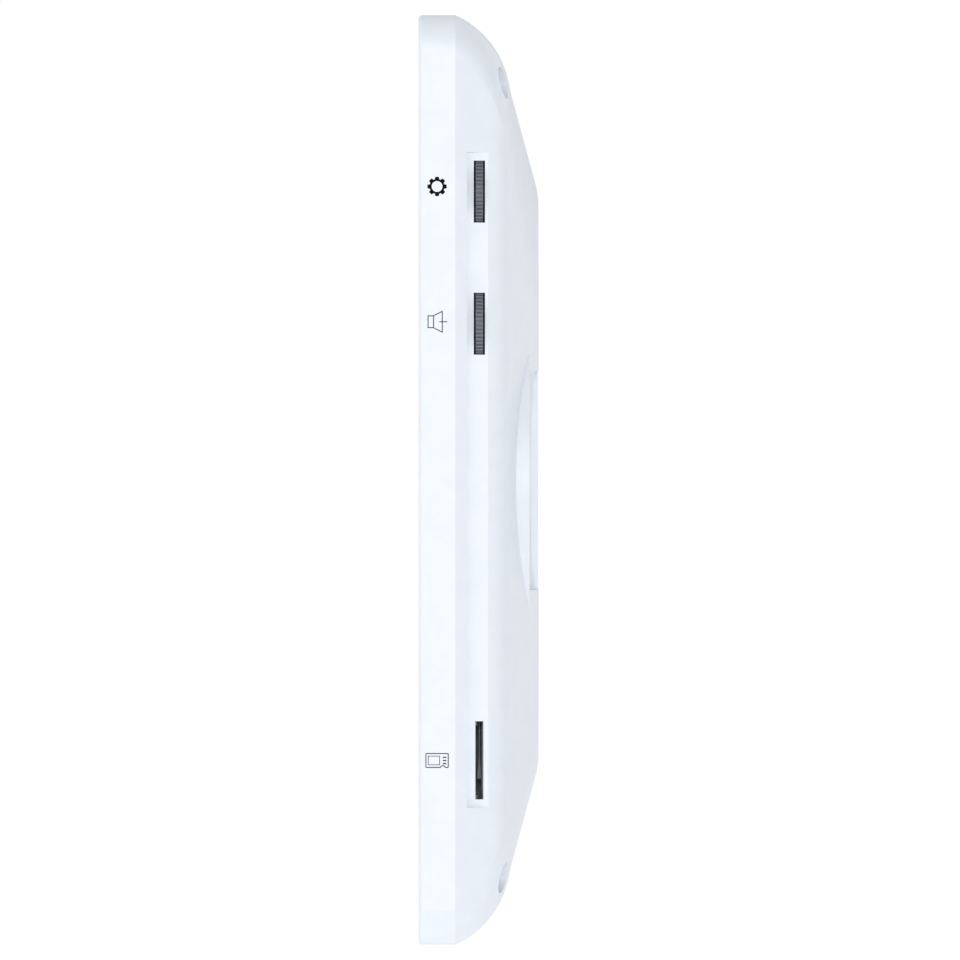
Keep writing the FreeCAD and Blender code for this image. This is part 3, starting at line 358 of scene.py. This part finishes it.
def printed(name, polygons, place, material):
    """Thin raised ink film; place turns a mark's own (u, v) and height into a point."""
    mesh = bmesh.new()
    for polygon in polygons:
        mesh.faces.new([mesh.verts.new(place(u * MM, v * MM, 0.0)) for u, v in polygon])
    bmesh.ops.remove_doubles(mesh, verts=mesh.verts, dist=WELD)
    raised = bmesh.ops.extrude_face_region(mesh, geom=mesh.faces[:], use_keep_orig=True)
    lifted = [part for part in raised["geom"] if isinstance(part, bmesh.types.BMVert)]
    bmesh.ops.translate(mesh, verts=lifted, vec=place(0, 0, INK) - place(0, 0, 0))
    bmesh.ops.recalc_face_normals(mesh, faces=mesh.faces)
    data = bpy.data.meshes.new(name)
    mesh.to_mesh(data)
    mesh.free()
    data.materials.append(material)
    piece = bpy.data.objects.new(name, data)
    bpy.context.scene.collection.objects.link(piece)
    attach(piece, "monitor")
    return piece


def on_side(centre_y, centre_z):
    """Marks on the side band: u runs back towards the wall, v runs up."""
    return lambda u, v, h: Vector((SIDE + h, centre_y + u, centre_z + v))


def on_glass(centre_x, centre_z):
    """Marks on the front glass: u runs right, v runs up."""
    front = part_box("front_window")[0].y
    return lambda u, v, h: Vector((centre_x + u, front - h, centre_z + v))


def gear_outline(teeth, tip, root):
    """Square-toothed wheel outline with eight points to a tooth."""
    points = []
    steps = teeth * 8
    lead = -4 * math.pi / steps
    for index in range(steps):
        angle = 2 * math.pi * index / steps
        radius = tip if index % 8 < 5 else root
        points.append((radius * math.cos(angle + lead), radius * math.sin(angle + lead)))
    return points


def gear_mark(material):
    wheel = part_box("settings_wheel")
    y = FRONT + MARK_DEPTH
    z = (wheel[0].z + wheel[1].z) / 2 + GEAR_RISE
    outline = gear_outline(GEAR_TEETH, GEAR_TIP, GEAR_ROOT)
    hole = circle(0, 0, GEAR_HOLE, len(outline))
    printed("mark_settings", closed_band(outline, hole), on_side(y, z), material)


def speaker_mark(material):
    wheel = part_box("volume_wheel")
    y = FRONT + MARK_DEPTH
    z = (wheel[0].z + wheel[1].z) / 2 + SOUND_RISE
    width = SOUND_LINE
    shapes = loop([(-1.45, -0.95), (-0.56, -0.95), (-0.56, 0.95), (-1.45, 0.95)], width)
    printed("mark_volume_box", shapes, on_side(y, z), material)
    horn = line([(-0.49, 1.00), (0.84, 1.68), (0.84, -1.68), (-0.49, -1.00)], width)
    printed("mark_volume_horn", horn, on_side(y, z), material)
    tick = line([(0.36, 0), (0.77, 0)], width)
    printed("mark_volume_tick", tick, on_side(y, z), material)
    tail = line([(0.91, 0), (1.66, 0)], width)
    printed("mark_volume_tail", tail, on_side(y, z), material)


def card_mark(material):
    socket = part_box("card_socket_shell")
    y = FRONT + MARK_DEPTH
    z = (socket[0].z + socket[1].z) / 2
    outline = [(-1.80, 1.12), (-1.80, -1.12), (0.50, -1.12), (0.78, -0.84), (1.08, -0.84),
               (1.36, -1.12), (1.80, -1.12), (1.80, 1.12)]
    window = [(-1.42, -0.70), (0.42, -0.70), (0.42, 0.70), (-1.42, 0.70)]
    shapes = loop(rounded(outline, CARD_ROUND), CARD_LINE) + loop(window, CARD_LINE * 0.7)
    for level in CONTACT_LEVELS:
        shapes.append(rectangle(0.92, 1.50, level - CONTACT_HALF, level + CONTACT_HALF))
    printed("mark_card", shapes, on_side(y, z), material)


def handset(flip):
    """Handset outline: a bowed grip with a block at each end, the blocks pointing to flip's side."""
    centre = 0.35 - GRIP_R
    outer = arc_points(0, centre, GRIP_R, 138, 42, 14)
    inner = arc_points(0, centre, GRIP_R - 2 * GRIP_HALF, 42, 138, 14)
    foot = [(2.55, -1.25), (1.15, -1.25), (1.15, -0.62)]
    mirrored = [(-u, v) for u, v in reversed(foot)]
    shape = outer + foot + [p for p in inner if abs(p[0]) < 1.1] + mirrored
    return [(u, v * flip) for u, v in shape]


def key_shapes():
    """The five touch marks, top to bottom: eye, answer, padlock, hang up and bell."""
    lids = arc_points(0, -1.9, 3.4, 145, 35) + arc_points(0, 1.9, 3.4, -35, -145)[1:-1]
    eye = loop(lids, KEY_LINE) + closed_band(circle(0, 0, 0.95), circle(0, 0, 0.50))
    padlock = [rectangle(-1.7, 1.7, -2.2, 0.3)]
    padlock += line([(1.15, 0.3)] + arc_points(0, 0.8, 1.15, 0, 180) + [(-1.15, 0.3)], SHACKLE_LINE)
    bell = loop(arc_points(0, 0.4, 1.7, 0, 180) + [(-2.2, -1.5), (2.2, -1.5)], KEY_LINE)
    bell += [circle(0, -2.15, 0.42, 20)]
    return [eye, [handset(1)], padlock, [handset(-1)], bell]


def touch_marks(material):
    low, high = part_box("touch_key_board")
    centre = (low.x + high.x) / 2
    pitch = (high.z - low.z) / KEY_SPAN
    rim = closed_band(circle(0, 0, KEY_CIRCLE, 64), circle(0, 0, KEY_CIRCLE - KEY_CIRCLE_LINE, 64))
    for index, shapes in enumerate(key_shapes()):
        z = (2 - index) * pitch
        printed("touch_mark_%d" % (index + 1), shapes + rim, on_glass(centre, z), material)


def on_label(centre_x, centre_y):
    """Marks on the rear label: u runs left as seen from the front, v runs up."""
    return lambda u, v, h: Vector((centre_x - u, centre_y + h, v))


def label_lines(material):
    """Ruled boxes and plain bars on the rear label, in place of lettering."""
    low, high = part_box("rear_label")
    half_w = (high.x - low.x) / 2 / MM - LABEL_MARGIN
    half_h = (high.z - low.z) / 2 / MM - LABEL_MARGIN
    inner_w = half_w - LABEL_MARGIN
    shapes = loop([(-half_w, -half_h), (half_w, -half_h), (half_w, half_h), (-half_w, half_h)], LABEL_RULE)
    for level, reach in LABEL_BARS:
        shapes.append(rectangle(-inner_w, reach * 2 * inner_w - inner_w, level, level + LABEL_BAR))
    for column in range(LABEL_BOXES):
        left = LABEL_BOX_PITCH * column - inner_w
        right = left + LABEL_BOX_W
        shapes += loop([(left, -17.5), (right, -17.5), (right, -9.5), (left, -9.5)], LABEL_RULE)
    shapes += loop([(-inner_w, 2.0), (inner_w, 2.0), (inner_w, 6.5), (-inner_w, 6.5)], LABEL_RULE)
    printed("label_lines", shapes, on_label((low.x + high.x) / 2, high.y), material)


# ---- thumbwheels ---------------------------------------------------------------------------
RIBS = 72
RIB_DEPTH = 0.42 * MM
CREST = 0.30             # share of a rib's pitch that its flat crest takes
FLANK = 0.14             # share that each of its two slopes takes
WHEEL_BORE = 1.55 * MM
WHEEL_HUB = 2.5 * MM
WHEEL_RIM = 1.2 * MM     # outer edge to the dished face
WHEEL_DISH = 0.3 * MM
WHEEL_EDGE = 0.10 * MM


def wheel_mesh(name, node, body, material):
    """Thumbwheel with chamfered ribs, in the place of the CAD wheel."""
    low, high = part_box(node)
    centre = (low + high) / 2
    radius = (high.z - low.z) / 2
    rim_points = []
    profile = ((0.0, 0.0), (CREST, 0.0), (CREST + FLANK, RIB_DEPTH), (1.0 - FLANK, RIB_DEPTH))
    for index in range(RIBS):
        for share, depth in profile:
            angle = 2 * math.pi * (index + share) / RIBS
            rim_points.append((angle, radius - depth))
    dish = radius - WHEEL_RIM
    floor_y = high.y - WHEEL_DISH
    rings = [
        [(low.y, r - WHEEL_EDGE) for _, r in rim_points],
        [(low.y + WHEEL_EDGE, r) for _, r in rim_points],
        [(high.y - WHEEL_EDGE, r) for _, r in rim_points],
        [(high.y, r - WHEEL_EDGE) for _, r in rim_points],
    ]
    for y, r in ((high.y, dish), (floor_y, dish), (floor_y, WHEEL_HUB), (high.y, WHEEL_HUB),
                 (high.y, WHEEL_BORE), (low.y, WHEEL_BORE)):
        rings.append([(y, r)] * len(rim_points))
    mesh = bmesh.new()
    rows = []
    for row in rings:
        rows.append([
            mesh.verts.new((centre.x + r * math.cos(angle), y, centre.z + r * math.sin(angle)))
            for (y, r), (angle, _) in zip(row, rim_points)
        ])
    for index, row in enumerate(rows):
        following = rows[(index + 1) % len(rows)]
        for place in range(len(row)):
            after = (place + 1) % len(row)
            mesh.faces.new([row[place], row[after], following[after], following[place]])
    bmesh.ops.recalc_face_normals(mesh, faces=mesh.faces)
    data = bpy.data.meshes.new(name)
    mesh.to_mesh(data)
    mesh.free()
    data.materials.append(material)
    wheel = bpy.data.objects.new(name, data)
    bpy.context.scene.collection.objects.link(wheel)
    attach(wheel, body)
    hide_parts(node)


# ---- stage, light and camera ---------------------------------------------------------------
VIEW_HEIGHT = 154.7 * MM
LENS = 1000.0
SENSOR = 36.0
VIEW_DEPTH = 9.9 * MM    # front face to the middle of the view
FLOOR_DROP = 40.0 * MM
FLOOR_SIZE = 6.0
FLOOR_GLOW = 0.34
SKY_LEAN = (0.0, -0.92, 0.39)
SKY_DIM = (0.405, 0.425, 0.440)
SKY_BRIGHT = (0.845, 0.865, 0.880)
KEY_DIRECTION = (-1.0, -0.06, -0.10)
KEY_STRENGTH = 0.70
FILL_DIRECTION = (0.8, -0.6, -0.25)
FILL_STRENGTH = 0.25


def pale_floor():
    bpy.ops.mesh.primitive_plane_add(size=FLOOR_SIZE, location=(0, 0, LOW.z - FLOOR_DROP))
    floor = bpy.context.object
    floor.name = "floor"
    material, tree, shader = new_material("floor")
    cloud = object_noise(tree, 3.0)
    colour = mix_colour(tree, cloud.outputs["Fac"], (0.90, 0.91, 0.92), (0.93, 0.93, 0.94))
    tree.links.new(colour, shader.inputs["Base Color"])
    shader.inputs["Roughness"].default_value = 0.9
    shader.inputs["Emission Color"].default_value = (1, 1, 1, 1)
    shader.inputs["Emission Strength"].default_value = FLOOR_GLOW
    floor.data.materials.append(material)


def studio_world():
    """White surroundings, brighter above and in front, and seen brighter than the light they give."""
    world = bpy.data.worlds.new("studio")
    bpy.context.scene.world = world
    world.use_nodes = True
    tree = world.node_tree
    tree.nodes.clear()
    out = tree.nodes.new("ShaderNodeOutputWorld")
    seen = tree.nodes.new("ShaderNodeBackground")
    seen.inputs["Color"].default_value = (1, 1, 1, 1)
    seen.inputs["Strength"].default_value = 1.0
    light = tree.nodes.new("ShaderNodeBackground")
    coords = tree.nodes.new("ShaderNodeTexCoord")
    lean = tree.nodes.new("ShaderNodeVectorMath")
    lean.operation = "DOT_PRODUCT"
    lean.inputs[1].default_value = SKY_LEAN
    tree.links.new(coords.outputs["Generated"], lean.inputs[0])
    share = tree.nodes.new("ShaderNodeMapRange")
    share.inputs["From Min"].default_value = -1.0
    share.inputs["From Max"].default_value = 1.0
    tree.links.new(lean.outputs["Value"], share.inputs["Value"])
    shade = mix_colour(tree, share.outputs["Result"], SKY_DIM, SKY_BRIGHT)
    tree.links.new(shade, light.inputs["Color"])
    path = tree.nodes.new("ShaderNodeLightPath")
    mix = tree.nodes.new("ShaderNodeMixShader")
    tree.links.new(path.outputs["Is Camera Ray"], mix.inputs["Fac"])
    tree.links.new(light.outputs["Background"], mix.inputs[1])
    tree.links.new(seen.outputs["Background"], mix.inputs[2])
    tree.links.new(mix.outputs["Shader"], out.inputs["Surface"])


def sun(name, direction, strength, colour, angle):
    data = bpy.data.lights.new(name, "SUN")
    data.energy = strength
    data.color = colour
    data.angle = math.radians(angle)
    lamp = bpy.data.objects.new(name, data)
    lamp.rotation_euler = Vector(direction).to_track_quat("-Z", "Y").to_euler()
    bpy.context.scene.collection.objects.link(lamp)


def photo_camera():
    """Long lens square on to the side, level with the middle of the unit."""
    data = bpy.data.cameras.new("camera")
    data.lens = LENS
    data.sensor_width = SENSOR
    data.clip_end = 50.0
    camera = bpy.data.objects.new("camera", data)
    distance = VIEW_HEIGHT * LENS / SENSOR
    camera.location = (SIDE + distance, FRONT + VIEW_DEPTH, 0.0)
    camera.rotation_euler = (math.radians(90), 0, math.radians(90))
    bpy.context.scene.collection.objects.link(camera)
    bpy.context.scene.camera = camera


def main():
    materials = make_materials()
    dress_nodes(materials)
    gear_mark(materials["ink_black"])
    speaker_mark(materials["ink_black"])
    card_mark(materials["ink_grey"])
    touch_marks(materials["ink_white"])
    label_lines(materials["ink_grey"])
    wheel_mesh("settings_wheel_ribbed", "settings_wheel", "settings_knob", materials["wheel"])
    wheel_mesh("volume_wheel_ribbed", "volume_wheel", "volume_knob", materials["wheel"])
    pale_floor()
    studio_world()
    sun("key", KEY_DIRECTION, KEY_STRENGTH, (1.0, 1.0, 1.0), 12)
    sun("far_fill", FILL_DIRECTION, FILL_STRENGTH, (0.97, 0.98, 1.0), 40)
    bpy.context.scene.view_settings.view_transform = "Standard"
    photo_camera()


main()
